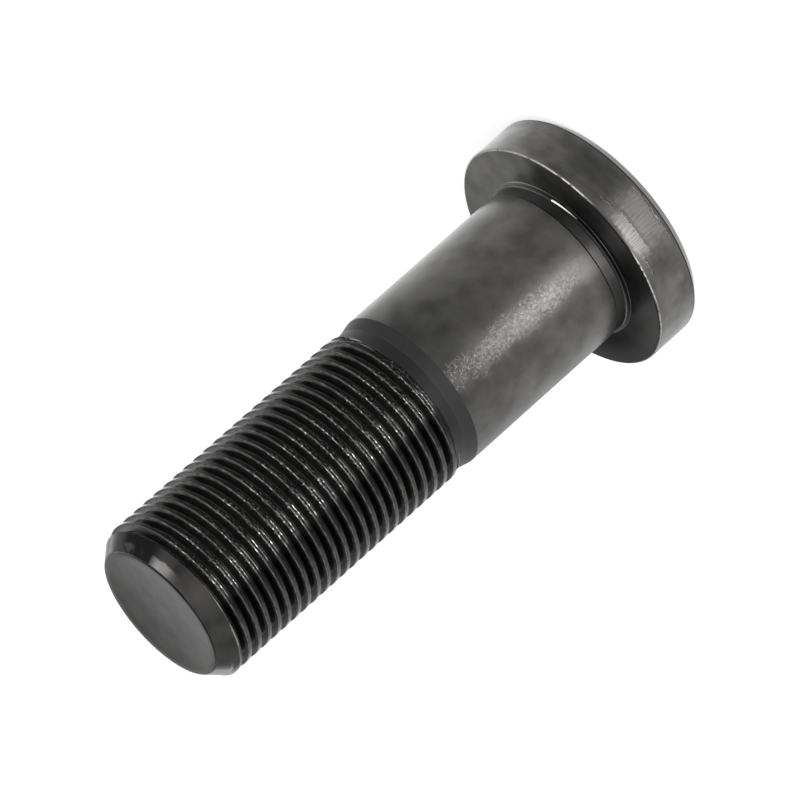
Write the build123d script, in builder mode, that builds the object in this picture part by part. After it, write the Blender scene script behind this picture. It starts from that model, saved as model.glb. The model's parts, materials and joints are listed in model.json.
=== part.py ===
"""Wheel stud: a forged headed stud with a plain press-fit shank and an M20 x 1.5 rolled thread.

It stands on the flat outer face of its head, at z = 0, and its axis is +Z, with the threaded tip at the top.
All sizes are in millimetres.
"""
from build123d import *

import os

# Head: a round flange with a chamfer round its outer face and a worn, slightly rounded inner edge
head_diameter = 29.2
head_thickness = 6.5
head_chamfer = 1.0
head_edge_radius = 0.3

# Relief rolled into the corner under the head: a step in from the shank, a band that widens towards the head,
# a fillet, and a low lip raised on the seat
groove_length = 1.85
groove_depth = 0.26
groove_step = 0.2
fillet_height = 0.5
fillet_depth = 0.065
fillet_sag = 0.06
lip_reach = 0.195
lip_rise = 0.14
lip_width = 0.18
lip_sag = 0.03

# Shank: the plain length that is pressed into the hub flange
shank_diameter = 19.85
shank_length = 24.0

# Neck: the blank as it was before rolling, with a cone up to the shank
cone_length = 1.5
neck_length = 0.9
neck_diameter = 19.1

# Thread: its plain envelope, at the size over the crests, between its run-out and the chamfered tip
thread_diameter = 19.8
thread_length = 36.1
runout_length = 0.9
tip_diameter = 16.4
tip_chamfer_length = 2.0
tip_edge_radius = 0.3
tip_dish_depth = 0.2

# Heights along the axis, each stacked on the one below
seat_z = head_thickness
shank_start_z = seat_z + groove_length
shank_end_z = seat_z + shank_length
cone_end_z = shank_end_z + cone_length
thread_start_z = cone_end_z + neck_length
tip_z = thread_start_z + thread_length

head_radius = head_diameter / 2
shank_radius = shank_diameter / 2
neck_radius = neck_diameter / 2
thread_radius = thread_diameter / 2
tip_radius = tip_diameter / 2

# Corners of the relief's section, as radius and height, and the radius of the hollow in the tip's face
lip_foot = (shank_radius + lip_reach + lip_width, seat_z)
lip_top = (shank_radius + lip_reach, seat_z + lip_rise)
fillet_top = (shank_radius - fillet_depth, seat_z + fillet_height)
groove_top = (shank_radius - groove_depth, shank_start_z - groove_step)
dish_radius = (tip_radius**2 + tip_dish_depth**2) / (2 * tip_dish_depth)


with BuildPart() as wheel_stud:
    with BuildSketch(Plane.XZ) as half_section:
        with BuildLine():
            # outer face, chamfer and rim of the head, and its seat up to the lip
            Polyline(
                (0, 0),
                (head_radius - head_chamfer, 0),
                (head_radius, head_chamfer),
                (head_radius, seat_z),
                lip_foot,
            )
            # lip and fillet
            SagittaArc(lip_foot, lip_top, -lip_sag)
            SagittaArc(lip_top, fillet_top, fillet_sag)
            # relief band, step, shank, cone, neck, thread and tip chamfer
            Polyline(
                fillet_top,
                groove_top,
                (shank_radius, shank_start_z),
                (shank_radius, shank_end_z),
                (neck_radius, cone_end_z),
                (neck_radius, thread_start_z),
                (thread_radius, thread_start_z + runout_length),
                (thread_radius, tip_z - tip_chamfer_length),
                (tip_radius, tip_z),
            )
            # hollow of the tip's face, down to the axis
            RadiusArc((tip_radius, tip_z), (0, tip_z - tip_dish_depth), dish_radius)
            Line((0, tip_z - tip_dish_depth), (0, 0))
        make_face()
        rim_corners = half_section.vertices().filter_by_position(Axis.X, head_radius, head_radius)
        fillet(rim_corners.sort_by(Axis.Y)[-1], head_edge_radius)
        tip_corner = half_section.vertices().sort_by(Axis.Y)[-1]
        fillet(tip_corner, tip_edge_radius)
    revolve(axis=Axis.Z)

wheel_stud.part.label = "wheel_stud"
os.makedirs("parts", exist_ok=True)
export_step(wheel_stud.part, "parts/wheel_stud.step")
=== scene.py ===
"""Looks of a forged wheel stud: black phosphated and oiled steel with a rolled thread, standing on its head.

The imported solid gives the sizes. One turned and rolled mesh replaces it, with the thread as real geometry,
and a pale studio shows it from the side and above. Lengths in the classes are millimetres; Blender's own unit
is the metre.
"""
import json
import logging
import math
from dataclasses import dataclass
from enum import IntEnum
from typing import Any, ClassVar, Optional

import bmesh
import bpy
import numpy as np
from bpy.types import Material, Mesh, Node, NodeSocket as Socket, NodeTree as Tree, Object
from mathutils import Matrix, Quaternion, Vector


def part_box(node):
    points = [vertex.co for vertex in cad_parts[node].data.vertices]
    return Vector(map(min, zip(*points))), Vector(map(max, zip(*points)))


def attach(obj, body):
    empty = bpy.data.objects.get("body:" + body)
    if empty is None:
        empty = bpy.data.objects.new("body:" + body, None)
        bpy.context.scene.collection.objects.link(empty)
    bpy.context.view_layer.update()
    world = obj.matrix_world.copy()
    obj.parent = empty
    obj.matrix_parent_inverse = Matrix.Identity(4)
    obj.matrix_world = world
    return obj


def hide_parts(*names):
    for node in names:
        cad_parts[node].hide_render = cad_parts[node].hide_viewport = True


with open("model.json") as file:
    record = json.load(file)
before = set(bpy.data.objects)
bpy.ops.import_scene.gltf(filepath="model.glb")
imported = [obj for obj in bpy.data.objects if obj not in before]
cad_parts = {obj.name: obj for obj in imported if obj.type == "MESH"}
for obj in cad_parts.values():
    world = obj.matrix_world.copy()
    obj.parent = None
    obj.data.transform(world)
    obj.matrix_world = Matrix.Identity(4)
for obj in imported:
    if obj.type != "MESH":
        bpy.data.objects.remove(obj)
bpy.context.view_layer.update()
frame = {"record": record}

MM = 0.001
CHORD_ANGLE = math.radians(22)
NODE = "wheel_stud"
BODY = "root"

log = logging.getLogger("wheel_stud")
Point = tuple[float, float]
Span = tuple[float, float]
Corner = tuple[float, float, float]
# A mask's lower limit, upper limit and fade
Band = tuple[float, float, float]
# Places in order, each with its level
Levels = tuple[tuple[float, float], ...]


class Zone(IntEnum):
    """Surfaces of the stud that carry a finish of their own, in the order of the mesh's material slots."""

    FORGED = 0
    TURNED = 1
    ROLLED = 2
    CROPPED = 3


def linear(hex_colour: str) -> tuple[float, float, float, float]:
    """Turns an sRGB hex colour into Blender's linear RGBA.

    Args:
        hex_colour: the colour as six hex digits, with or without a leading hash.

    Returns:
        Linear red, green and blue, with an alpha of 1.
    """
    digits = hex_colour.lstrip("#")
    channels = [int(digits[i:i + 2], 16) / 255 for i in (0, 2, 4)]
    red, green, blue = [c / 12.92 if c <= 0.04045 else ((c + 0.055) / 1.055) ** 2.4 for c in channels]
    return red, green, blue, 1.0


def add_node(
    tree: Tree,
    kind: str,
    inputs: Optional[dict[Any, Any]] = None,
    stops: Optional[list[tuple[float, Any]]] = None,
    **settings: Any,
) -> Node:
    """Adds one node with its settings, values and links.

    Args:
        tree: the node tree that gets the node.
        kind: the node's type name.
        inputs: input sockets by name or index, each with a value, or with the socket or node that feeds it.
        stops: positions and colours of a colour ramp.
        settings: the node's own properties.

    Returns:
        The new node.
    """
    node = tree.nodes.new(kind)
    for name, value in settings.items():
        setattr(node, name, value)
    for key, value in (inputs or {}).items():
        feed = value.outputs[0] if isinstance(value, Node) else value
        if isinstance(feed, Socket):
            tree.links.new(feed, node.inputs[key])
        else:
            node.inputs[key].default_value = feed
    if stops:
        elements = node.color_ramp.elements
        while len(elements) < len(stops):
            elements.new(1.0)
        for element, (position, colour) in zip(elements, stops):
            element.position = position
            element.color = colour if isinstance(colour, tuple) else (colour, colour, colour, 1.0)
    return node


def compute(tree: Tree, operation: str, *values: Any) -> Socket:
    """Adds one Math node.

    Args:
        tree: the node tree that gets the node.
        operation: what it works out.
        values: its inputs in order, each a number, a socket or a node.

    Returns:
        The result's socket.
    """
    return add_node(tree, "ShaderNodeMath", dict(enumerate(values)), operation=operation).outputs[0]


def by_azimuth(tree: Tree, azimuth: Socket, levels: Levels) -> Node:
    """Adds a level that changes with the azimuth.

    Args:
        tree: the node tree that gets the nodes.
        azimuth: the azimuth in degrees.
        levels: azimuths in degrees, in order, each with its level.

    Returns:
        The node that gives the level.
    """
    turn = compute(tree, "MULTIPLY_ADD", azimuth, 1 / 360, 0.5)
    stops = [(angle / 360 + 0.5, level) for angle, level in levels]
    return add_node(tree, "ShaderNodeValToRGB", {0: turn}, stops)


def take_over(tree: Tree, value: Socket, span: Span, first: Any, second: Any) -> Socket:
    """Adds a level that goes smoothly from one to another as a value crosses a span.

    Args:
        tree: the node tree that gets the nodes.
        value: the value.
        span: where the second level begins to take over, and where it has.
        first: the level before the span.
        second: the level after it.

    Returns:
        The socket that gives the level.
    """
    limits = {"Value": value, "From Min": span[0], "From Max": span[1]}
    reached = add_node(tree, "ShaderNodeMapRange", limits, interpolation_type="SMOOTHSTEP")
    return add_node(tree, "ShaderNodeMix", {0: reached, 6: first, 7: second}, data_type="RGBA").outputs[2]


def by_ray(tree: Tree, lit: Node, mirrored: Node, seen: Node) -> Node:
    """Adds a surface that differs with what looks at it.

    Args:
        tree: the node tree that gets the nodes.
        lit: the surface as it lights the stud.
        mirrored: the surface as the metal mirrors it.
        seen: the surface as the camera sees it.

    Returns:
        The node that gives the surface.
    """
    path = add_node(tree, "ShaderNodeLightPath")
    other = add_node(tree, "ShaderNodeMixShader", {0: path.outputs["Is Glossy Ray"], 1: lit, 2: mirrored})
    return add_node(tree, "ShaderNodeMixShader", {0: path.outputs["Is Camera Ray"], 1: other, 2: seen})


def arc(start: Point, end: Point, sag: float, steps: int) -> list[Point]:
    """Points of a circular arc between two points of a half-section.

    Args:
        start: radius and height where the arc starts.
        end: radius and height where it ends.
        sag: how far its middle stands off the chord, positive away from the metal.
        steps: number of chords.

    Returns:
        The points after the start, up to and including the end.
    """
    along = np.subtract(end, start)
    chord = float(np.hypot(*along))
    along = along / chord
    outward = np.array((along[1], -along[0]))
    radius = (chord * chord / 4 + sag * sag) / (2 * abs(sag))
    half_angle = math.asin(chord / 2 / radius)
    middle = np.add(start, end) / 2 + outward * (sag - math.copysign(radius, sag))
    points = []
    for angle in np.linspace(-half_angle, half_angle, steps + 1)[1:]:
        offset = outward * math.copysign(radius * math.cos(angle), sag) + along * radius * math.sin(angle)
        points.append(tuple(float(v) for v in middle + offset))
    return points


def rounded(corners: list[Corner]) -> list[Point]:
    """Rounds the corners of a half-section.

    Args:
        corners: radius, height and rounding radius of each corner; a rounding of 0 keeps it sharp.

    Returns:
        Points of the outline with its corners rounded.
    """
    points: list[Point] = []
    for i, (r, z, rounding) in enumerate(corners):
        if rounding == 0 or i in (0, len(corners) - 1):
            points.append((r, z))
            continue
        here = np.array((r, z))
        to_last = np.subtract(corners[i - 1][:2], here)
        to_next = np.subtract(corners[i + 1][:2], here)
        to_last = to_last / np.hypot(*to_last)
        to_next = to_next / np.hypot(*to_next)
        half = math.acos(float(np.clip(to_last @ to_next, -1, 1))) / 2
        reach = rounding / math.tan(half)
        start, end = here + to_last * reach, here + to_next * reach
        sag = rounding * (1 - math.sin(half))
        turn = to_last[0] * to_next[1] - to_last[1] * to_next[0]
        steps = math.ceil((math.pi - 2 * half) / CHORD_ANGLE)
        points.append(tuple(float(v) for v in start))
        points += arc(tuple(start), tuple(end), math.copysign(sag, -turn), steps)
    return points


def smoothstep(value: np.ndarray, low: float, high: float) -> np.ndarray:
    """Rises smoothly from 0 at low to 1 at high."""
    t = np.clip((value - low) / (high - low), 0, 1)
    return t * t * (3 - 2 * t)


def get_places(mesh: Mesh) -> np.ndarray:
    """Reads the places of a mesh's vertices, in millimetres."""
    places = np.empty(len(mesh.vertices) * 3)
    mesh.vertices.foreach_get("co", places)
    return places.reshape(-1, 3) / MM


def set_places(mesh: Mesh, places: np.ndarray) -> None:
    """Moves a mesh's vertices to places given in millimetres."""
    mesh.vertices.foreach_set("co", (places * MM).ravel())
    mesh.update()


def draw_outline(name: str, points: list[Point]) -> Object:
    """Draws a half-section as a chain of edges, by extruding one vertex from point to point.

    Args:
        name: the new object's name.
        points: radius and height of each point, in millimetres.

    Returns:
        The object, with its outline in the plane of +X and Z.
    """
    bpy.ops.object.select_all(action="DESELECT")
    bpy.ops.mesh.primitive_plane_add(size=MM)
    outline = bpy.context.active_object
    outline.name = outline.data.name = name
    bpy.ops.object.mode_set(mode="EDIT")
    bpy.ops.mesh.merge(type="CENTER")
    bpy.ops.transform.translate(value=(points[0][0] * MM, 0, points[0][1] * MM))
    for last, here in zip(points, points[1:]):
        step = ((here[0] - last[0]) * MM, 0, (here[1] - last[1]) * MM)
        bpy.ops.mesh.extrude_vertices_move(TRANSFORM_OT_translate={"value": step})
    bpy.ops.object.mode_set(mode="OBJECT")
    return outline


def spin_outline(outline: Object, steps: int) -> None:
    """Spins a half-section once round the stud's axis.

    Args:
        outline: the chain of edges.
        steps: number of steps in the turn.
    """
    bpy.context.view_layer.objects.active = outline
    bpy.ops.object.mode_set(mode="EDIT")
    bpy.ops.mesh.select_all(action="SELECT")
    bpy.ops.mesh.spin(steps=steps, angle=2 * math.pi, center=(0, 0, 0), axis=(0, 0, 1))
    bpy.ops.object.mode_set(mode="OBJECT")


@dataclass(frozen=True)
class StudSizes:
    """Radii and heights of the stud in millimetres, the heights above the head's outer face."""

    head_radius: float
    seat: float
    shank_radius: float
    shank_start: float
    shank_end: float
    crest_radius: float
    tip: float
    head_chamfer: float = 1.0
    chamfer_edge: float = 0.25
    seat_edge: float = 0.3
    lip_reach: float = 0.195
    lip_rise: float = 0.14
    lip_width: float = 0.18
    lip_sag: float = 0.03
    fillet_height: float = 0.5
    fillet_depth: float = 0.065
    fillet_sag: float = 0.06
    groove_depth: float = 0.26
    groove_step: float = 0.2
    cone_length: float = 1.5
    neck_radius: float = 9.55
    tip_radius: float = 8.2
    tip_chamfer: float = 2.0
    tip_edge: float = 0.3
    tip_dish: float = 0.26

    @classmethod
    def from_frame(cls) -> "StudSizes":
        """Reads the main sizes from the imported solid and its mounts."""
        low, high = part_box(NODE)
        mounts = {mount["name"]: mount for mount in frame["record"]["mounts"]}
        shank = mounts["shank"]
        middle, half = shank["pos_m"][2] / MM, shank["dims"]["length_mm"] / 2
        return cls(
            head_radius=round((high.x - low.x) / 2 / MM, 2),
            seat=mounts["head_seat"]["pos_m"][2] / MM,
            shank_radius=shank["dims"]["r_mm"],
            shank_start=middle - half,
            shank_end=middle + half,
            crest_radius=mounts["thread"]["dims"]["r_mm"],
            tip=high.z / MM,
        )

    def chamfer_radius(self, height: Any) -> Any:
        """Radius of the tip's chamfer at a height."""
        slope = (self.crest_radius - self.tip_radius) / self.tip_chamfer
        return self.tip_radius + (self.tip - height) * slope


@dataclass(frozen=True)
class ThreadForm:
    """Form of the rolled right-hand thread in millimetres and degrees.

    Rolling pushes the metal up both flanks. On most of the crest the two ridges have closed, but in one strip
    along the stud a shallow seam is left between them.
    """

    FLANK_ANGLE: ClassVar[float] = 30.0
    pitch: float = 1.5
    depth: float = 0.84
    crest_low: float = -0.34
    crest_high: float = 0.13
    ridge_slope: float = 28.0
    ridge_width: float = 0.17
    seam_depth: float = 0.05
    ridge_rounding: float = 0.03
    tip_rounding: float = 0.22
    root_rounding: float = 0.04
    crest_height_at_x: float = 49.76
    run_out: float = 1.05
    run_out_sway: float = 0.42
    run_out_turn: float = 35.0
    run_out_length: float = 0.8
    shoulder_length: float = 0.3
    lead_in: float = 0.95
    lead_in_fade: Span = (1.5, 1.1)
    seam_azimuths: Span = (-20.0, -3.0)
    seam_fade: float = 2.0

    @property
    def seam_low(self) -> float:
        """Height of the seam's edge under the ridge on the head's side, over the crest's middle."""
        return self.crest_low + self.seam_depth / math.tan(math.radians(self.ridge_slope))


class Stud:
    """The stud as one mesh: head and shank spun from a half-section, a screwed thread and a spun tip."""

    STEPS = 128
    ARC_STEPS = 8
    DISH_STEPS = 12
    SPARE_TURNS = 3
    EDGE_BREAK = 0.08
    WELD = 0.0015
    SNAP = 0.02
    CHAMFER_DEPTH = 0.03
    SMOOTH_ANGLE = math.radians(42)

    def __init__(self, sizes: StudSizes, thread: ThreadForm) -> None:
        """Keeps the sizes that the pieces are made from."""
        self.sizes = sizes
        self.thread = thread
        self.neck_end = sizes.shank_end + sizes.cone_length + thread.run_out
        self.thread_end = sizes.tip - thread.lead_in

    def thread_start(self, places: np.ndarray) -> np.ndarray:
        """Heights at which the thread starts, for places in millimetres: the run-out sways round the neck."""
        turn = np.arctan2(places[:, 0], -places[:, 1]) - math.radians(self.thread.run_out_turn)
        return self.neck_end + self.thread.run_out_sway * np.cos(turn)

    def head_and_shank(self) -> Object:
        """Spins the head, the relief under it, the shank and the neck, up to the start of the thread."""
        s, edge = self.sizes, self.EDGE_BREAK
        lip_top = (s.shank_radius + s.lip_reach, s.seat + s.lip_rise)
        fillet_top = (s.shank_radius - s.fillet_depth, s.seat + s.fillet_height)
        head = rounded(
            [
                (0, 0, 0),
                (s.head_radius - s.head_chamfer, 0, s.chamfer_edge),
                (s.head_radius, s.head_chamfer, s.chamfer_edge),
                (s.head_radius, s.seat, s.seat_edge),
                (lip_top[0] + s.lip_width, s.seat, 0),
            ]
        )
        fillet = arc(head[-1], lip_top, s.lip_sag, self.ARC_STEPS)
        fillet += arc(lip_top, fillet_top, -s.fillet_sag, self.ARC_STEPS)
        shank = rounded(
            [
                (*fillet_top, 0),
                (s.shank_radius - s.groove_depth, s.shank_start - s.groove_step, edge),
                (s.shank_radius, s.shank_start, edge),
                (s.shank_radius, s.shank_end, edge),
                (s.neck_radius, s.shank_end + s.cone_length, edge),
                (s.neck_radius, self.neck_end, 0),
            ]
        )
        piece = draw_outline("head_and_shank", head + fillet + shank[1:])
        spin_outline(piece, self.STEPS)
        places = get_places(piece.data)
        last = places[:, 2] > self.neck_end - self.EDGE_BREAK
        places[last, 2] = self.thread_start(places[last])
        set_places(piece.data, places)
        return piece

    def tip(self) -> Object:
        """Spins the end of the chamfer and the slightly dished end face."""
        s = self.sizes
        corners = rounded(
            [
                (s.chamfer_radius(self.thread_end), self.thread_end, 0),
                (s.tip_radius, s.tip, s.tip_edge),
                (0, s.tip, 0),
            ]
        )[:-1]
        dish_radius = corners[-1][0]
        for i in range(1, self.DISH_STEPS + 1):
            share = 1 - i / self.DISH_STEPS
            corners.append((dish_radius * share, s.tip - s.tip_dish * (1 - share * share)))
        piece = draw_outline("tip", corners)
        spin_outline(piece, self.STEPS)
        return piece

    def thread_outline(self) -> list[Point]:
        """One pitch of the thread from root to root, as radius and height."""
        t, crest = self.thread, self.sizes.crest_radius
        root, seam = crest - t.depth, crest - t.seam_depth
        foot = t.depth * math.tan(math.radians(t.FLANK_ANGLE))
        middle = (t.crest_low + t.crest_high) / 2
        ridge = t.crest_high - t.ridge_width
        corners = [
            (root, middle - t.pitch / 2, 0),
            (root, t.crest_low - foot, t.root_rounding),
            (crest - t.depth / 2, t.crest_low - foot / 2, 0),
            (crest, t.crest_low, t.ridge_rounding),
            (seam, t.seam_low, t.ridge_rounding),
            (seam, ridge - t.seam_depth, 0),
            (crest, ridge, 0),
            (crest, t.crest_high, t.tip_rounding),
            (crest - t.depth / 2, t.crest_high + foot / 2, 0),
            (root, t.crest_high + foot, t.root_rounding),
            (root, middle + t.pitch / 2, 0),
        ]
        return rounded(corners)

    def rolled_thread(self) -> Object:
        """Screws one pitch of the thread up the stud, fades it out at the neck and cuts it at the chamfer."""
        s, t = self.sizes, self.thread
        turns = math.ceil((s.tip - self.neck_end) / t.pitch) + self.SPARE_TURNS
        below = math.ceil((t.crest_height_at_x - self.neck_end) / t.pitch) + self.SPARE_TURNS - 1
        first = t.crest_height_at_x - below * t.pitch
        piece = draw_outline("thread", [(r, z + first) for r, z in self.thread_outline()])
        screw = piece.modifiers.new("screw", "SCREW")
        screw.angle = 2 * math.pi
        screw.screw_offset = t.pitch * MM
        screw.iterations = turns
        screw.steps = screw.render_steps = self.STEPS
        screw.use_normal_calculate = True
        bpy.ops.object.modifier_apply(modifier=screw.name)
        self.fade(piece.data)
        return piece

    def close_seam(self, places: np.ndarray) -> np.ndarray:
        """Radii of the thread's vertices with the seam in the crest closed, except in its strip.

        Args:
            places: the vertices in millimetres.

        Returns:
            The radii in millimetres.
        """
        t, crest = self.thread, self.sizes.crest_radius
        radius = np.hypot(places[:, 0], places[:, 1])
        azimuth = np.degrees(np.arctan2(places[:, 0], -places[:, 1]))
        from_crest = places[:, 2] - t.crest_height_at_x - t.pitch * (azimuth - 90) / 360
        along = (from_crest + t.pitch / 2) % t.pitch - t.pitch / 2
        on_crest = (along > t.crest_low) & (along < t.crest_high - t.ridge_width)
        first, last = t.seam_azimuths
        shown = smoothstep(azimuth, first - t.seam_fade, first)
        shown *= 1 - smoothstep(azimuth, last, last + t.seam_fade)
        return np.where(on_crest, crest - (crest - radius) * shown, radius)

    def fade(self, mesh: Mesh) -> None:
        """Raises the thread from the neck over a shoulder, and lets the tip's chamfer cut its last turn.

        Args:
            mesh: the screwed thread, which is changed in place.
        """
        s, t = self.sizes, self.thread
        places = get_places(mesh)
        start = self.thread_start(places)
        height = np.clip(places[:, 2], start, self.thread_end)
        height = np.where(height < start + self.SNAP, start, height)
        height = np.where(height > self.thread_end - self.SNAP, self.thread_end, height)
        radius = self.close_seam(places)
        shoulder = smoothstep(height - start, 0, t.shoulder_length)
        rolled = smoothstep(height - start, 0, t.run_out_length)
        rolled *= 1 - smoothstep(height, *(s.tip - length for length in t.lead_in_fade))
        blank = s.neck_radius + shoulder * (s.crest_radius - s.neck_radius)
        new = np.minimum(blank - rolled * (s.crest_radius - radius), s.chamfer_radius(height))
        places[:, :2] *= (new / np.hypot(places[:, 0], places[:, 1]))[:, None]
        places[:, 2] = height
        set_places(mesh, places)

    def zones(self, middles: np.ndarray) -> np.ndarray:
        """Says which finish each face has.

        Args:
            middles: the faces' middles in millimetres.

        Returns:
            The zone of each face.
        """
        s = self.sizes
        radius, height = np.hypot(middles[:, 0], middles[:, 1]), middles[:, 2]
        outside = radius > s.chamfer_radius(height) - self.CHAMFER_DEPTH
        on_chamfer = outside & (height > s.tip - s.tip_chamfer)
        zones = np.full(len(middles), Zone.FORGED)
        zones[height > s.shank_end] = Zone.TURNED
        zones[height > self.thread_start(middles)] = Zone.ROLLED
        zones[on_chamfer | (height > self.thread_end)] = Zone.CROPPED
        return zones

    def build(self, finishes: dict[Zone, Material]) -> Object:
        """Makes the stretches of the stud, joins them into one closed mesh and dresses it.

        Args:
            finishes: the material of each zone.

        Returns:
            The finished piece.
        """
        pieces = [self.head_and_shank(), self.rolled_thread(), self.tip()]
        bpy.ops.object.select_all(action="DESELECT")
        for piece in pieces:
            piece.select_set(True)
        stud = pieces[0]
        bpy.context.view_layer.objects.active = stud
        bpy.ops.object.join()
        stud.name = stud.data.name = "phosphated_stud"
        bpy.ops.object.mode_set(mode="EDIT")
        bpy.ops.mesh.select_all(action="SELECT")
        bpy.ops.mesh.remove_doubles(threshold=self.WELD * MM)
        bpy.ops.mesh.normals_make_consistent(inside=False)
        bpy.ops.object.mode_set(mode="OBJECT")
        for zone in Zone:
            stud.data.materials.append(finishes[zone])
        middles = np.array([face.center for face in stud.data.polygons]) / MM
        stud.data.polygons.foreach_set("material_index", self.zones(middles))
        bpy.ops.object.shade_smooth_by_angle(angle=self.SMOOTH_ANGLE)
        even = stud.modifiers.new("even_shading", "WEIGHTED_NORMAL")
        even.keep_sharp = True
        bpy.ops.object.modifier_apply(modifier=even.name)
        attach(stud, BODY)
        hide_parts(NODE)
        return stud


@dataclass(frozen=True)
class Places:
    """Sockets of one node tree that say where on the stud a point lies, in millimetres and degrees."""

    position: Socket
    radius: Socket
    height: Socket
    azimuth: Socket

    @classmethod
    def on(cls, tree: Tree) -> "Places":
        """Adds the nodes that work a point's place out from Object coordinates."""
        coordinates = add_node(tree, "ShaderNodeTexCoord")
        scaled = {0: coordinates.outputs["Object"], "Scale": 1 / MM}
        position = add_node(tree, "ShaderNodeVectorMath", scaled, operation="SCALE").outputs[0]
        x, y, z = add_node(tree, "ShaderNodeSeparateXYZ", {0: position}).outputs
        flat = add_node(tree, "ShaderNodeCombineXYZ", {0: x, 1: y})
        length = add_node(tree, "ShaderNodeVectorMath", {0: flat}, operation="LENGTH")
        turn = compute(tree, "ARCTAN2", x, compute(tree, "MULTIPLY", y, -1.0))
        return cls(position, length.outputs["Value"], z, compute(tree, "DEGREES", turn))


class Coat:
    """A phosphate coat that layers of wear, relief, and painted light and shade are added to."""

    # Levels of the noise at which its clouds are darkest and lightest
    CLOUDS = (0.35, 0.65)
    # Widths in millimetres over which most borders fade
    SOFT = 0.05
    CRISP = 0.03

    def __init__(
        self, name: str, dark: str, light: str, mottle_mm: float, metallic: float, roughness: float
    ) -> None:
        """Starts the material with a cloudy colour.

        Args:
            name: the material and finish in plain words.
            dark: colour of the darker clouds.
            light: colour of the lighter clouds.
            mottle_mm: size of the clouds.
            metallic: share of bare metal in what the coat reflects.
            roughness: how dull it is.
        """
        self.material = bpy.data.materials.new(name)
        self.material.use_nodes = True
        self.tree = self.material.node_tree
        self.tree.nodes.clear()
        self.shader = add_node(self.tree, "ShaderNodeBsdfPrincipled")
        add_node(self.tree, "ShaderNodeOutputMaterial", {"Surface": self.shader})
        self.at = Places.on(self.tree)
        self.clouds = self.speckle(mottle_mm, 4.0)
        stops = list(zip(self.CLOUDS, (linear(dark), linear(light))))
        self.colour = add_node(self.tree, "ShaderNodeValToRGB", {0: self.clouds}, stops).outputs[0]
        self.tree.links.new(self.colour, self.shader.inputs["Base Color"])
        self.shader.inputs["Metallic"].default_value = metallic
        self.shader.inputs["Roughness"].default_value = roughness

    def stretch(
        self, value: Any, low: float, high: float, soft: float, within: Optional[Socket] = None
    ) -> Socket:
        """Adds a mask that is 1 where a value lies between two limits and fades out beyond them.

        Args:
            value: the socket or node of the value that is tested.
            low: lower limit.
            high: upper limit.
            soft: distance beyond either limit at which the mask reaches 0.
            within: a mask that the new one stays inside.

        Returns:
            The mask's socket.
        """
        mask = within
        for outside, inside in ((low - soft, low), (high + soft, high)):
            limits = {"Value": value, "From Min": outside, "From Max": inside}
            side = add_node(self.tree, "ShaderNodeMapRange", limits, interpolation_type="SMOOTHSTEP")
            mask = side.outputs[0] if mask is None else compute(self.tree, "MULTIPLY", mask, side)
        return mask

    def around(self, value: Any, base: float, limits: Band, within: Optional[Socket] = None) -> Socket:
        """Adds a stretch whose limits are measured from a base."""
        low, high, soft = limits
        return self.stretch(value, base + low, base + high, soft, within)

    def shifted(self, value: Socket, noise: Socket, reach: float) -> Socket:
        """Moves a value by up to half a reach either way, so that a border drawn on it runs ragged.

        Args:
            value: the value.
            noise: what moves it, from 0 to 1.
            reach: how far apart the lowest and the highest place are.

        Returns:
            The moved value's socket.
        """
        low = compute(self.tree, "SUBTRACT", value, reach / 2)
        return compute(self.tree, "MULTIPLY_ADD", noise, reach, low)

    def paint(self, share: Any, colour: Any, blend: str = "MIX") -> None:
        """Lays a colour over the coat.

        Args:
            share: how much of it shows, as a number, a socket or a node.
            colour: the colour in hex or in linear RGBA, or the node that gives it.
            blend: how it mixes with what lies under it.
        """
        layers = {0: share, 6: self.colour, 7: linear(colour) if isinstance(colour, str) else colour}
        self.colour = add_node(
            self.tree, "ShaderNodeMix", layers, data_type="RGBA", blend_type=blend
        ).outputs[2]
        self.tree.links.new(self.colour, self.shader.inputs["Base Color"])

    def emboss(self, pattern: Socket, height_mm: float, strength: Any = 1.0) -> None:
        """Raises the surface by a pattern, over the relief that is already there.

        Args:
            pattern: the pattern's socket, from 0 to 1.
            height_mm: how high its top stands over its bottom.
            strength: how much of it shows, a number or a mask's socket.
        """
        normal = self.shader.inputs["Normal"]
        inputs = {"Height": pattern, "Strength": strength, "Distance": height_mm * MM}
        if normal.is_linked:
            inputs["Normal"] = normal.links[0].from_socket
        relief = add_node(self.tree, "ShaderNodeBump", inputs)
        self.tree.links.new(relief.outputs[0], normal)

    def speckle(self, size_mm: float, detail: float = 1.0) -> Socket:
        """Adds an even noise whose grains have a size in millimetres."""
        inputs = {"Vector": self.at.position, "Scale": 1 / size_mm, "Detail": detail}
        return add_node(self.tree, "ShaderNodeTexNoise", inputs).outputs[0]

    def unrolled(self, radius: float, width_mm: float, length_mm: float) -> Socket:
        """Adds a noise on an unrolled round wall.

        Args:
            radius: the wall's radius in millimetres.
            width_mm: how wide its grains are, round the wall.
            length_mm: how long they are, along the axis.

        Returns:
            The noise's socket.
        """
        across = compute(self.tree, "MULTIPLY", self.at.azimuth, math.radians(1) * radius / width_mm)
        along = compute(self.tree, "MULTIPLY", self.at.height, 1 / length_mm)
        place = add_node(self.tree, "ShaderNodeCombineXYZ", {0: across, 1: along})
        inputs = {"Vector": place, "Scale": 1.0, "Detail": 2.0}
        return add_node(self.tree, "ShaderNodeTexNoise", inputs).outputs[0]


@dataclass(frozen=True)
class RimHighlight:
    """A pale patch of the head's rim, a painted highlight, with its limits and fades in degrees and in
    millimetres.
    """

    azimuths: Band
    heights: Band
    colour: str

    def mask(self, coat: Coat, azimuth: Socket, height: Socket) -> Socket:
        """Adds the mask of the patch, drawn on the given azimuth and height."""
        return coat.stretch(height, *self.heights, coat.stretch(azimuth, *self.azimuths))


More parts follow.
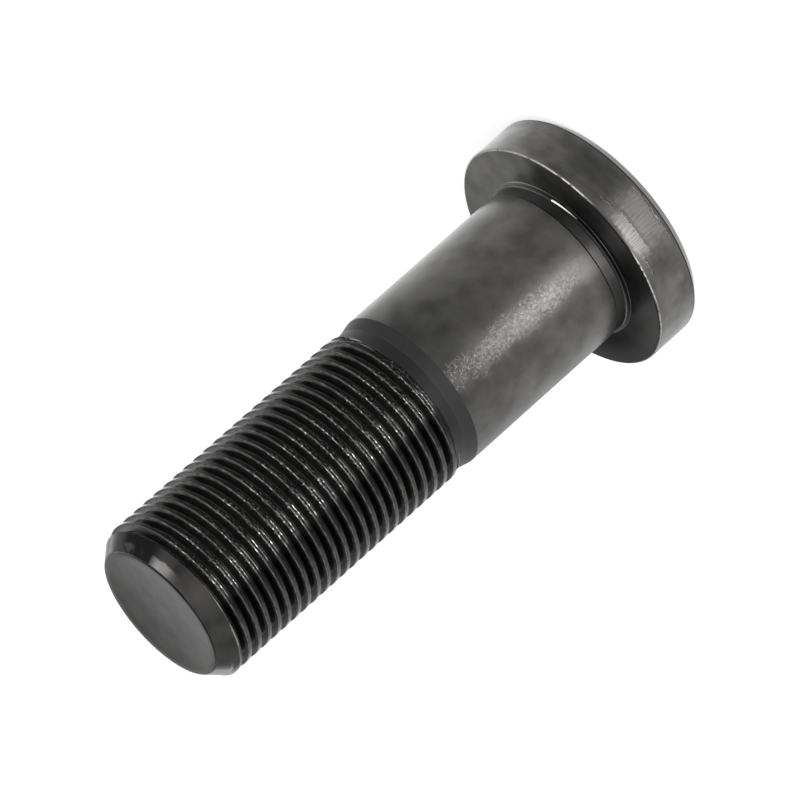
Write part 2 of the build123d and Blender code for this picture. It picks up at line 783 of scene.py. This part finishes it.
@dataclass(frozen=True)
class ForgedFinish:
    """Black phosphate and oil on forged steel.

    It is a satin dark grey with faint clouds. A strip of the shank carries a painted highlight, a pale mottle
    with curled bright lines, and the shank is painted darker towards the thread. The seat, lip, fillet and
    relief are toned by azimuth with painted light and shade, partly oil. The corner of the seat is worn to
    bright steel in broken lengths, with painted shade over one stretch, a stretch of the fillet carries a
    painted highlight, and the rim has two pale patches of painted highlight with nicks along their borders.
    """

    # Colours and sheen
    dark: str = "#4f4e4d"
    light: str = "#636261"
    # bright steel where the seat's corner is worn, and the fillet's painted highlight
    bare_steel_and_highlight: str = "#c4c2bf"
    # painted highlight: the pale mottle of the shank's strip
    highlight_mottle: str = "#6a6866"
    # painted highlight beside the nicks along the burrs
    burr_highlight: str = "#918f8d"
    # painted glints: the bright curls in the shank's strip
    glint_curl: str = "#807e7c"
    # dark nicks and dirt, and painted shade on the seat's corner
    nick_dirt_and_shade: str = "#2c2b2b"
    # painted shade towards the thread
    thread_end_shade: tuple[float, float, float, float] = (0.84, 0.84, 0.84, 1.0)
    roughness: float = 0.3
    metallic: float = 0.8
    mottle_mm: float = 3.0

    # Seat: its tones by azimuth are painted light and shade, partly oil; near the shank on one side its
    # reflection is dimmed as painted shade
    seat_heights: Band = (-0.04, 0.04, 0.05)
    seat_reach: float = 40.0
    seat_painted_light_and_oil: Levels = (
        (-180, 0.4), (-140, 0.2), (-105, 0.12), (-75, 0.45), (-50, 0.6), (-30, 0.25), (0, 0.25), (20, 0.7),
        (42, 1.0), (62, 1.75), (80, 1.9), (110, 1.95), (150, 1.4), (180, 0.4),
    )
    shaded_seat: Band = (-140.0, -80.0, 40.0)
    shade_reach: Span = (1.0, 3.5)
    seat_shade: float = 0.5

    # Shank: painted shade towards the thread, and a strip of painted highlight, a pale mottle with bright
    # curls of painted glint; the ends are distances from the seat and from the end of the shank, with a fade
    thread_end_shade_heights: Band = (-3.0, 0.0, 8.0)
    highlight_azimuths: Band = (-19.0, -7.0, 6.0)
    highlight_reach: float = 26.0
    highlight_mottle_mm: float = 0.33
    highlight_mottle_levels: Band = (0.57, 1.0, 0.15)
    highlight_mottle_ends: Band = (7.0, 6.0, 6.0)
    glint_curl_mm: float = 0.42
    glint_curl_levels: Band = (0.48, 0.52, 0.03)
    glint_curl_ends: Band = (9.0, 0.2, 3.0)
    gap_mm: float = 0.5
    gap_levels: Band = (0.54, 1.0, 0.1)

    # Lip, fillet and relief under the head: their tones by azimuth are painted shade, partly oil; a stretch
    # of the fillet carries a painted highlight
    lip_shade_and_oil: Levels = (
        (-180, 0.6), (-70, 0.5), (-45, 0.28), (-12, 0.2), (0, 0.03), (26, 0.03), (40, 0.3), (60, 0.8),
        (100, 1.0), (180, 0.6),
    )
    fillet_shade_and_oil: Levels = (
        (-180, 0.4), (-70, 0.5), (-45, 0.15), (-20, 0.03), (26, 0.03), (40, 0.2), (60, 0.5), (100, 0.8),
        (180, 0.4),
    )
    relief_shade_and_oil: Levels = (
        (-180, 0.4), (-70, 0.3), (-42, 0.35), (-27, 0.9), (-12, 1.0), (-4, 0.4), (20, 0.15), (60, 0.25),
        (90, 0.4), (180, 0.4),
    )
    fillet_highlight_azimuths: Band = (12.0, 32.0, 1.0)
    fillet_highlight_top: float = -0.03
    fillet_highlight_heights: Band = (0.07, 1.0, 0.03)
    fillet_highlight_taper: float = 0.0075

    # Rim: random smears, and two pale patches of painted highlight, scratched along the axis; along their
    # borders dark nicks with a painted highlight beside them
    rim_radii: Band = (-0.1, 1.0, 0.05)
    smear_mm: Span = (2.6, 1.1)
    smear_tones: Span = (0.86, 1.14)
    ragged_mm: float = 0.45
    ragged_reach: Span = (9.0, 0.7)
    scratch_mm: Span = (0.13, 2.6)
    scratch_levels: Band = (0.6, 1.0, 0.4)
    scratch_height_mm: float = 0.006
    rim_highlights: tuple[RimHighlight, ...] = (
        RimHighlight((-18, -2, 7), (1.9, 3.9, 0.5), "#7a7876"), RimHighlight((-19, -5, 7), (4.7, 5.75, 0.5), "#8e8c8a"),
    )
    crumb_mm: float = 0.3
    crumb_levels: Band = (0.44, 1.0, 0.1)
    burr_fade: float = 2.0
    burr_width: float = 0.04
    burr_shift: float = 0.1
    burrs: tuple[tuple[float, float, float], ...] = (
        (-24, 1, 1.42), (-20, -3, 4.45), (-32, -24, 5.4), (3, 8, 4.9),
    )

    # Corners: the seat's worn corner with painted shade over one stretch, and dirt at the outer chamfer's
    # corner
    corner_wear: Levels = (
        (-180, 0.1), (-90, 0.2), (-80, 0.5), (-55, 0.5), (-47, 0.1), (-42, 0.7), (-24, 0.8), (-19, 0.0),
        (9, 0.0), (14, 0.7), (32, 0.6), (45, 0.4), (82, 0.4), (95, 0.2), (180, 0.1),
    )
    wear_mm: float = 0.75
    wear_levels: Band = (0.45, 1.0, 0.08)
    wear_reach: Band = (-0.012, 1.0, 0.02)
    corner_shade_azimuths: Band = (-16.0, 6.0, 4.0)
    corner_shade_heights: Band = (-0.2, 0.0, 0.06)
    dirt_heights: Band = (0.02, 0.14, 0.06)

    def seat(self, coat: Coat, sizes: StudSizes) -> None:
        """Tones the seat with painted light and shade, partly oil: lighter on one side, darker on the other,
        with a smeared border; near the shank on one side it dims the reflection as painted shade.

        Args:
            coat: the coat that it is added to.
            sizes: the stud's sizes, which place it.
        """
        smeared = coat.shifted(coat.at.azimuth, coat.clouds, self.seat_reach)
        tone = by_azimuth(coat.tree, smeared, self.seat_painted_light_and_oil)
        seat = coat.around(coat.at.height, sizes.seat, self.seat_heights)
        # painted light and shade by azimuth, partly oil
        coat.paint(seat, tone, "MULTIPLY")
        shaded = coat.stretch(coat.at.azimuth, *self.shaded_seat, seat)
        reach, fade = self.shade_reach
        shaded = coat.stretch(coat.at.radius, 0.0, sizes.shank_radius + reach, fade, shaded)
        limits = {"Value": shaded, "To Min": 1.0, "To Max": self.seat_shade}
        sheen = add_node(coat.tree, "ShaderNodeMapRange", limits)
        # painted shade: the reflection is dimmed near the shank on one side
        coat.tree.links.new(sheen.outputs[0], coat.shader.inputs["Specular Tint"])

    def paint_shank_light_and_shade(self, coat: Coat, sizes: StudSizes) -> None:
        """Paints shade on the shank towards the thread, and a highlight in a strip along it: a soft pale
        mottle, with thin bright curls of painted glint.

        Args:
            coat: the coat that it is added to.
            sizes: the stud's sizes, which place it.
        """
        height = coat.at.height
        thread_end_shade = coat.around(height, sizes.shank_end, self.thread_end_shade_heights)
        # painted shade: the shank darkens towards the thread
        coat.paint(thread_end_shade, self.thread_end_shade, "MULTIPLY")
        ragged = coat.shifted(coat.at.azimuth, coat.clouds, self.highlight_reach)
        strip = coat.stretch(ragged, *self.highlight_azimuths)
        mottled, curled = (
            coat.stretch(height, sizes.seat + start, sizes.shank_end - end, fade, strip)
            for start, end, fade in (self.highlight_mottle_ends, self.glint_curl_ends)
        )
        mottled = coat.stretch(coat.speckle(self.highlight_mottle_mm, 4.0), *self.highlight_mottle_levels, mottled)
        # painted highlight: a pale mottle in the strip
        coat.paint(mottled, self.highlight_mottle)
        lines = coat.stretch(coat.speckle(self.glint_curl_mm), *self.glint_curl_levels, curled)
        # painted glints: thin bright curls in the strip
        coat.paint(coat.stretch(coat.speckle(self.gap_mm), *self.gap_levels, lines), self.glint_curl)

    def paint_fillet_highlight(self, coat: Coat, sizes: StudSizes) -> None:
        """Paints a highlight in the colour of bright steel on a short stretch of the fillet under the head.

        Args:
            coat: the coat that it is added to.
            sizes: the stud's sizes, which place it.
        """
        spot = coat.stretch(coat.at.azimuth, *self.fillet_highlight_azimuths)
        taper = compute(coat.tree, "MULTIPLY_ADD", coat.at.azimuth, -self.fillet_highlight_taper, coat.at.height)
        lip = sizes.seat + sizes.lip_rise
        spot = coat.stretch(taper, sizes.seat, lip + self.fillet_highlight_top, coat.CRISP, spot)
        spot = coat.around(coat.at.height, lip, self.fillet_highlight_heights, spot)
        # painted highlight on the fillet
        coat.paint(spot, self.bare_steel_and_highlight)

    def relief(self, coat: Coat, sizes: StudSizes) -> None:
        """Darkens the lip, the fillet and the relief under the head by azimuth: painted shade, partly oil.

        Args:
            coat: the coat that it is added to.
            sizes: the stud's sizes, which place it.
        """
        lip, band = sizes.seat + sizes.lip_rise, sizes.seat + sizes.fillet_height
        for low, high, tones in (
            (sizes.seat + coat.CRISP, lip + coat.SOFT, self.lip_shade_and_oil),
            (lip + coat.SOFT, band, self.fillet_shade_and_oil),
            (band, sizes.shank_start - sizes.groove_step / 2, self.relief_shade_and_oil),
        ):
            tone = by_azimuth(coat.tree, coat.at.azimuth, tones)
            # painted shade by azimuth, partly oil
            coat.paint(coat.stretch(coat.at.height, low, high, coat.SOFT), tone, "MULTIPLY")

    def smear_and_highlight_rim(self, coat: Coat, sizes: StudSizes) -> None:
        """Smears the rim, and paints two pale patches of highlight on it, scratched along the axis, with dark
        nicks and a painted highlight along their ragged borders.

        Args:
            coat: the coat that it is added to.
            sizes: the stud's sizes, which place it.
        """
        at = coat.at
        rim = coat.around(at.radius, sizes.head_radius, self.rim_radii)
        smears = coat.unrolled(sizes.head_radius, *self.smear_mm)
        stops = list(zip(coat.CLOUDS, self.smear_tones))
        coat.paint(rim, add_node(coat.tree, "ShaderNodeValToRGB", {0: smears}, stops), "MULTIPLY")
        scratches = coat.unrolled(sizes.head_radius, *self.scratch_mm)
        ragged = coat.speckle(self.ragged_mm, 3.0)
        crumbs = coat.speckle(self.crumb_mm)
        azimuth = coat.shifted(at.azimuth, ragged, self.ragged_reach[0])
        height = coat.shifted(at.height, ragged, self.ragged_reach[1])
        for patch in self.rim_highlights:
            mask = patch.mask(coat, azimuth, height)
            # painted highlight: a pale patch of the rim
            coat.paint(coat.stretch(scratches, *self.scratch_levels, mask), patch.colour)
            coat.emboss(scratches, self.scratch_height_mm, mask)
        for start, end, place in self.burrs:
            length = coat.stretch(at.azimuth, start, end, self.burr_fade)
            broken = coat.stretch(crumbs, *self.crumb_levels, length)
            low = place - self.burr_width / 2
            for shift, colour in ((0.0, self.nick_dirt_and_shade), (self.burr_shift, self.burr_highlight)):
                line = coat.stretch(height, low + shift, low + shift + self.burr_width, coat.CRISP, broken)
                # a dark nick, and a painted highlight beside it
                coat.paint(line, colour)

    def worn_corners(self, coat: Coat, sizes: StudSizes) -> None:
        """Wears the seat's corner to bright steel in broken lengths, paints shade over one stretch of it, and
        dirties the outer chamfer's corner.

        Args:
            coat: the coat that it is added to.
            sizes: the stud's sizes, which place it.
        """
        at, tree = coat.at, coat.tree
        reach = compute(tree, "ADD", at.radius, at.height)
        outermost = sizes.head_radius + sizes.seat - 2 * sizes.seat_edge * (1 - math.sqrt(0.5))
        corner = coat.stretch(at.height, sizes.seat - sizes.seat_edge, sizes.seat, coat.SOFT)
        corner = coat.around(reach, outermost, self.wear_reach, corner)
        broken = coat.stretch(coat.speckle(self.wear_mm, 4.0), *self.wear_levels, corner)
        wear = by_azimuth(tree, at.azimuth, self.corner_wear)
        share = compute(tree, "MULTIPLY", broken, wear)
        corner_shade = coat.around(at.height, sizes.seat, self.corner_shade_heights)
        # painted shade over a stretch of the seat's corner
        coat.paint(coat.stretch(at.azimuth, *self.corner_shade_azimuths, corner_shade), self.nick_dirt_and_shade)
        coat.paint(share, self.bare_steel_and_highlight)
        dirt = coat.around(at.height, sizes.head_chamfer, self.dirt_heights)
        coat.paint(dirt, self.nick_dirt_and_shade)

    def material(self, sizes: StudSizes) -> Material:
        """Builds the material.

        Args:
            sizes: the stud's sizes, which place the wear.

        Returns:
            The material.
        """
        coat = Coat(
            "phosphated_forged_steel", self.dark, self.light, self.mottle_mm, self.metallic, self.roughness
        )
        for layer in (self.seat, self.paint_shank_light_and_shade, self.relief, self.paint_fillet_highlight, self.smear_and_highlight_rim, self.worn_corners):
            layer(coat, sizes)
        return coat.material


@dataclass(frozen=True)
class TurnedFinish:
    """Phosphate on the turned cone and neck: an even, matte dark grey, with a film of oil on the neck."""

    dark: str = "#2a2a2a"
    light: str = "#2e2e2e"
    # the neck's film of oil
    oil_and_shade: str = "#323232"
    oil_and_shade_fade: float = 0.15
    roughness: float = 0.5
    metallic: float = 0.9
    mottle_mm: float = 4.0

    def material(self, sizes: StudSizes) -> Material:
        """Builds the material.

        Args:
            sizes: the stud's sizes, which place the neck.

        Returns:
            The material.
        """
        coat = Coat(
            "phosphated_turned_steel", self.dark, self.light, self.mottle_mm, self.metallic, self.roughness
        )
        neck = sizes.shank_end + sizes.cone_length
        coat.paint(coat.stretch(coat.at.height, neck, sizes.tip, self.oil_and_shade_fade), self.oil_and_shade)
        return coat.material


@dataclass(frozen=True)
class RolledFinish:
    """Phosphate under a film of oil on the rolled thread.

    It is almost black and glossy, darker in the grooves of one side, and a little dusty in the others. The
    corner of the run-out is darkened with painted shade, and so, a little, is the head's side of each crest.
    The crests shine in broken lengths, and in front short bright specks on them are painted glints.
    """

    dark: str = "#262625"
    light: str = "#3a3938"
    # painted shade on the head's side of each crest
    ridge: str = "#2a2a29"
    # the darker grooves of one side, and painted shade in the corner of the run-out
    oil_and_shade: str = "#0e0e0e"
    # painted glints on the crests in front
    glint_speck: str = "#989694"
    roughness: float = 0.11
    metallic: float = 0.7
    mottle_mm: float = 0.7
    dash_mm: Span = (0.9, 0.16)
    dash_limits: Span = (0.36, 0.64)
    dash_tones: Span = (0.45, 1.7)
    glint_speck_mm: Span = (0.4, 0.12)
    glint_speck_levels: Band = (0.63, 1.0, 0.04)
    crest_radii: Band = (-0.2, 0.0, 0.05)
    glint_speck_azimuths: Band = (-12.0, 24.0, 10.0)
    flank_reach: Span = (0.1, 0.02)
    groove_depth: float = 0.3
    dark_groove_azimuths: Band = (-75.0, -27.0, 8.0)
    oil_and_shade_fade: float = 0.1

    def material(self, sizes: StudSizes, thread: ThreadForm) -> Material:
        """Builds the material.

        Args:
            sizes: the stud's sizes, which place the crests.
            thread: the thread's form, which places the ridges on them.

        Returns:
            The material.
        """
        coat = Coat(
            "oiled_rolled_steel", self.dark, self.light, self.mottle_mm, self.metallic, self.roughness
        )
        at, tree = coat.at, coat.tree
        lead = compute(tree, "MULTIPLY_ADD", at.azimuth, -thread.pitch / 360, at.height)
        from_crest = compute(tree, "SUBTRACT", lead, thread.crest_height_at_x - thread.pitch / 4)
        along = compute(tree, "WRAP", from_crest, thread.pitch / 2, -thread.pitch / 2)
        reach, fade = self.flank_reach
        ridge = coat.stretch(along, thread.crest_low - reach, thread.crest_high - thread.ridge_width, fade)
        # painted shade: the head's side of each crest is a little darker
        coat.paint(ridge, self.ridge)
        crest = coat.around(at.radius, sizes.crest_radius, self.crest_radii)
        broken = coat.unrolled(sizes.crest_radius, *self.dash_mm)
        stops = list(zip(self.dash_limits, self.dash_tones))
        coat.paint(crest, add_node(tree, "ShaderNodeValToRGB", {0: broken}, stops), "MULTIPLY")
        groove = coat.stretch(at.radius, 0.0, sizes.crest_radius - self.groove_depth, self.oil_and_shade_fade)
        # darker grooves on one side
        coat.paint(coat.stretch(at.azimuth, *self.dark_groove_azimuths, groove), self.oil_and_shade)
        turn = compute(tree, "RADIANS", compute(tree, "SUBTRACT", at.azimuth, thread.run_out_turn))
        sway = compute(tree, "COSINE", turn)
        rise = compute(tree, "MULTIPLY_ADD", sway, -thread.run_out_sway, at.height)
        foot = sizes.shank_end + sizes.cone_length + thread.run_out
        corner = coat.stretch(rise, foot - 1, foot + thread.shoulder_length, self.oil_and_shade_fade)
        # painted shade in the corner of the run-out
        coat.paint(corner, self.oil_and_shade)
        glinting = coat.stretch(at.azimuth, *self.glint_speck_azimuths, crest)
        specks = coat.unrolled(sizes.crest_radius, *self.glint_speck_mm)
        # painted glints: bright specks on the crests in front
        coat.paint(coat.stretch(specks, *self.glint_speck_levels, glinting), self.glint_speck)
        return coat.material


@dataclass(frozen=True)
class CroppedFinish:
    """Phosphate on the cropped end: satin grey and cloudy, smoother on the chamfer, which has a dark patch on
    one side and grime on another; a stretch of the face's edge is painted darker as painted shade.
    """

    dark: str = "#4a4948"
    light: str = "#5c5b5a"
    # the dark patch and the grime of the chamfer
    oil_and_shade: str = "#242424"
    # painted shade on a stretch of the face's edge
    edge: str = "#343434"
    face_roughness: float = 0.28
    chamfer_roughness: float = 0.2
    metallic: float = 1.0
    mottle_mm: float = 2.6
    blotch_mm: float = 1.1
    blotch_reach: Span = (50.0, 0.5)
    chamfer_start: Span = (0.1, 0.15)
    grimy_azimuths: Band = (16.0, 60.0, 10.0)
    clean_length: Span = (1.05, 0.25)
    shaded_edge_azimuths: Band = (0.0, 32.0, 10.0)
    shaded_edge_radii: Band = (-0.12, 0.08, 0.06)
    dark_patch_azimuths: Span = (35.5, 48.0)
    dark_patch_fades: Span = (2.5, 14.0)

    def material(self, sizes: StudSizes) -> Material:
        """Builds the material.

        Args:
            sizes: the stud's sizes, which place the chamfer.

        Returns:
            The material.
        """
        dull = self.face_roughness
        coat = Coat("phosphated_cropped_steel", self.dark, self.light, self.mottle_mm, self.metallic, dull)
        at = coat.at
        depth, fade = self.chamfer_start
        chamfer = coat.stretch(at.radius, sizes.tip_radius + depth, sizes.crest_radius, fade)
        start, end = self.dark_patch_azimuths
        start_fade, end_fade = self.dark_patch_fades
        dark_patch = coat.stretch(at.azimuth, start, 180.0, start_fade, chamfer)
        blotches = coat.speckle(self.blotch_mm, 3.0)
        blotched = coat.shifted(at.azimuth, blotches, self.blotch_reach[0])
        dark_patch = coat.stretch(blotched, 0.0, end, end_fade, dark_patch)
        # a dark patch on the chamfer from one azimuth on, with a ragged end
        coat.paint(dark_patch, self.oil_and_shade)
        grime = coat.stretch(at.azimuth, *self.grimy_azimuths, chamfer)
        blotched = coat.shifted(at.height, blotches, self.blotch_reach[1])
        length, fade = self.clean_length
        grime = coat.stretch(blotched, 0.0, sizes.tip - length, fade, grime)
        coat.paint(grime, self.oil_and_shade)
        edge = coat.around(at.radius, sizes.tip_radius, self.shaded_edge_radii)
        # painted shade on a stretch of the face's edge
        coat.paint(coat.stretch(at.azimuth, *self.shaded_edge_azimuths, edge), self.edge)
        limits = {"Value": chamfer, "To Min": dull, "To Max": self.chamfer_roughness}
        roughness = add_node(coat.tree, "ShaderNodeMapRange", limits)
        coat.tree.links.new(roughness.outputs[0], coat.shader.inputs["Roughness"])
        return coat.material


@dataclass(frozen=True)
class FloorRing:
    """One ring of the floor as the metal mirrors it.

    Attributes:
        span: distances from the axis, in millimetres, over which it takes over from the ring inside it.
        levels: its brightness by azimuth.
    """

    span: Span
    levels: Levels


@dataclass(frozen=True)
class Softbox:
    """An area lamp that faces the stud.

    Attributes:
        name: the lamp's name.
        azimuth: its direction round the stud in degrees, from the camera's side towards +X.
        elevation: its direction above the floor in degrees.
        distance: how far off it hangs, in millimetres.
        size: its width and height in millimetres.
        level: how bright its face is, where 1 is white.
    """

    name: str
    azimuth: float
    elevation: float
    distance: float
    size: Span
    level: float

    def hang(self, aim: Vector) -> None:
        """Hangs the lamp.

        Args:
            aim: the point that it faces, in millimetres.
        """
        data = bpy.data.lights.new(self.name, "AREA")
        data.shape = "RECTANGLE"
        data.size, data.size_y = (side * MM for side in self.size)
        data.energy = self.level * math.pi * data.size * data.size_y
        lamp = bpy.data.objects.new(self.name, data)
        bpy.context.scene.collection.objects.link(lamp)
        turn, rise = math.radians(self.azimuth), math.radians(self.elevation)
        flat = math.cos(rise)
        towards = Vector((math.sin(turn) * flat, -math.cos(turn) * flat, math.sin(rise)))
        lamp.location = (towards * self.distance + aim) * MM
        lamp.rotation_mode = "QUATERNION"
        lamp.rotation_quaternion = (-towards).to_track_quat("-Z", "Y")


@dataclass(frozen=True)
class Studio:
    """Pale floor, soft surroundings, lamps and the camera."""

    SENSOR: ClassVar[float] = 36.0
    CLIP: ClassVar[Span] = (0.05, 50.0)
    LOW_SKY: ClassVar[Levels] = (
        (-0.5, 1.0), (-0.2, 2.0), (0.0, 2.8), (0.2, 3.3), (0.38, 3.3), (0.46, 1.5), (0.54, 0.33), (0.62, 0.4),
    )
    floor_size: float = 4.0
    floor_colour: str = "#f4f4f4"
    floor_glow: float = 0.62
    floor_rings: tuple[FloorRing, ...] = (
        FloorRing((0, 1), ((-180, 1.2), (180, 1.2))),
        FloorRing((15.5, 17.5), (
            (-180, 1.1), (-150, 0.8), (-120, 1.1), (-95, 1.2), (-68, 1.25), (-50, 1.15), (-38, 1.0),
            (-27, 1.2), (-13, 1.4), (0, 1.2), (10, 0.46), (27, 0.38), (40, 0.55), (54, 0.85),
            (68, 1.15), (85, 1.6), (108, 1.9), (150, 1.75), (180, 1.2),
        )),
        FloorRing((23, 31), (
            (-180, 1.1), (-150, 0.8), (-120, 1.1), (-85, 1.15), (-60, 0.95), (-42, 1.25), (-30, 4.1),
            (-18, 4.3), (-4, 1.4), (14, 0.72), (55, 0.72), (85, 1.08), (115, 1.6), (150, 1.75), (180, 1.2),
        )),
        FloorRing((44, 64), (
            (-180, 1.1), (-150, 0.8), (-120, 1.1), (-85, 1.1), (-60, 0.9), (-42, 1.0), (-30, 2.5), (-18, 2.6),
            (-4, 1.0), (14, 0.64), (55, 0.64), (85, 1.0), (115, 1.6), (150, 1.75), (180, 1.2),
        )),
        FloorRing((68, 84), (
            (-180, 1.4), (-150, 1.0), (-120, 1.2), (-90, 1.6), (-62, 0.5), (-40, 0.35), (-24, 0.3),
            (-10, 0.2), (5, 0.1), (30, 0.08), (60, 0.12), (90, 0.4), (120, 0.75), (140, 1.3), (160, 2.1),
            (180, 1.8),
        )),
        FloorRing((180, 300), (
            (-180, 0.9), (-90, 0.9), (-50, 0.9), (-35, 1.4), (-12, 1.4), (0, 0.7), (20, 0.3), (90, 0.3),
            (150, 0.6), (180, 0.9),
        )),
    )
    right_sky: Levels = LOW_SKY + (
        (0.7, 0.55), (0.77, 0.5), (0.84, 0.5), (0.88, 0.25), (0.92, 0.07), (0.96, 0.05), (1.0, 0.05),
    )
    behind_sky: Levels = LOW_SKY + (
        (0.68, 1.1), (0.75, 1.25), (0.8, 0.95), (0.86, 0.45), (0.92, 0.24), (0.97, 0.2), (1.0, 0.2),
    )
    left_sky: Levels = LOW_SKY + (
        (0.7, 0.8), (0.77, 1.4), (0.84, 2.0), (0.91, 1.25), (0.945, 0.7), (0.975, 0.2), (1.0, 0.2),
    )
    sky_joins: tuple[Span, Span] = ((-0.35, -0.15), (0.2, 0.42))
    sky_tilt: float = 0.5
    sky_glow: float = 0.5
    softboxes: tuple[Softbox, ...] = (
        Softbox("front_softbox", 58, 51, 780, (320, 200), 2.6),
        Softbox("front_strip", -24.5, 27, 780, (500, 320), 6.5),
    )
    camera_place: tuple[float, float, float] = (0.0, -676.8, 328.7)
    camera_aim: tuple[float, float, float] = (0.06, 0.0, 32.04)
    camera_roll: float = -131.58
    lens: float = 309.7

    def floor(self) -> None:
        """Lays the floor: white to the camera with the stud's soft shadow, and pale to the metal."""
        bpy.ops.object.select_all(action="DESELECT")
        bpy.ops.mesh.primitive_plane_add(size=self.floor_size)
        floor = bpy.context.active_object
        floor.name = "studio_floor"
        material = bpy.data.materials.new("pale_paper_floor")
        material.use_nodes = True
        tree = material.node_tree
        tree.nodes.clear()
        paper = add_node(tree, "ShaderNodeBsdfDiffuse", {"Color": linear(self.floor_colour)})
        white = add_node(tree, "ShaderNodeEmission", {"Strength": self.floor_glow})
        seen = add_node(tree, "ShaderNodeAddShader", {0: paper, 1: white})
        at = Places.on(tree)
        level: Any = linear("#000000")
        for ring in self.floor_rings:
            here = by_azimuth(tree, at.azimuth, ring.levels)
            here.color_ramp.interpolation = "EASE"
            level = take_over(tree, at.radius, ring.span, level, here)
        mirrored = add_node(tree, "ShaderNodeEmission", {"Color": level})
        add_node(tree, "ShaderNodeOutputMaterial", {"Surface": by_ray(tree, paper, mirrored, seen)})
        floor.data.materials.append(material)

    def surroundings(self) -> None:
        """Makes the room: white to the camera; to the metal, white at the horizon and dark overhead."""
        world = bpy.data.worlds.new("studio")
        bpy.context.scene.world = world
        world.use_nodes = True
        tree = world.node_tree
        tree.nodes.clear()
        coordinates = add_node(tree, "ShaderNodeTexCoord")
        x, y, z = add_node(tree, "ShaderNodeSeparateXYZ", {0: coordinates.outputs["Generated"]}).outputs
        height = compute(tree, "MULTIPLY_ADD", y, self.sky_tilt, z)
        lowest, highest = self.LOW_SKY[0][0], 1.0
        limits = {"Value": height, "From Min": lowest, "From Max": highest}
        share = add_node(tree, "ShaderNodeMapRange", limits)
        right, behind, left = (
            add_node(
                tree,
                "ShaderNodeValToRGB",
                {0: share},
                [((tilted - lowest) / (highest - lowest), level) for tilted, level in sky],
            )
            for sky in (self.right_sky, self.behind_sky, self.left_sky)
        )
        level = take_over(tree, x, self.sky_joins[0], right, behind)
        level = take_over(tree, x, self.sky_joins[1], level, left)
        glow = add_node(tree, "ShaderNodeBackground", {"Strength": self.sky_glow})
        mirrored = add_node(tree, "ShaderNodeBackground", {"Color": level})
        plain = add_node(tree, "ShaderNodeBackground", {"Strength": 1.0})
        add_node(tree, "ShaderNodeOutputWorld", {"Surface": by_ray(tree, glow, mirrored, plain)})

    def lamps(self) -> None:
        """Hangs the softboxes."""
        for softbox in self.softboxes:
            softbox.hang(Vector(self.camera_aim))

    def camera(self) -> None:
        """Sets up the camera, rolled so that the stud's tip points down to the left."""
        data = bpy.data.cameras.new("camera")
        data.lens = self.lens
        data.sensor_width = self.SENSOR
        data.clip_start, data.clip_end = self.CLIP
        camera = bpy.data.objects.new("camera", data)
        bpy.context.scene.collection.objects.link(camera)
        place, aim = Vector(self.camera_place), Vector(self.camera_aim)
        camera.location = place * MM
        facing = (aim - place).to_track_quat("-Z", "Y")
        camera.rotation_mode = "QUATERNION"
        camera.rotation_quaternion = facing @ Quaternion((0, 0, 1), math.radians(self.camera_roll))
        bpy.context.scene.camera = camera


def open_edges(piece: Object) -> int:
    """Counts the edges of a mesh that don't lie between exactly two faces."""
    mesh = bmesh.new()
    mesh.from_mesh(piece.data)
    count = sum(not edge.is_manifold for edge in mesh.edges)
    mesh.free()
    return count


def main() -> None:
    """Builds the stud and the studio."""
    logging.basicConfig(level=logging.INFO, format="%(name)s: %(message)s")
    sizes, thread = StudSizes.from_frame(), ThreadForm()
    finishes = {
        Zone.FORGED: ForgedFinish().material(sizes),
        Zone.TURNED: TurnedFinish().material(sizes),
        Zone.ROLLED: RolledFinish().material(sizes, thread),
        Zone.CROPPED: CroppedFinish().material(sizes),
    }
    stud = Stud(sizes, thread).build(finishes)
    triangles = sum(len(face.vertices) - 2 for face in stud.data.polygons)
    log.info("%s: %d triangles, %d open edges", stud.name, triangles, open_edges(stud))
    studio = Studio()
    studio.floor()
    studio.surroundings()
    studio.lamps()
    studio.camera()
    bpy.context.scene.view_settings.view_transform = "Standard"


if __name__ == "__main__":
    main()
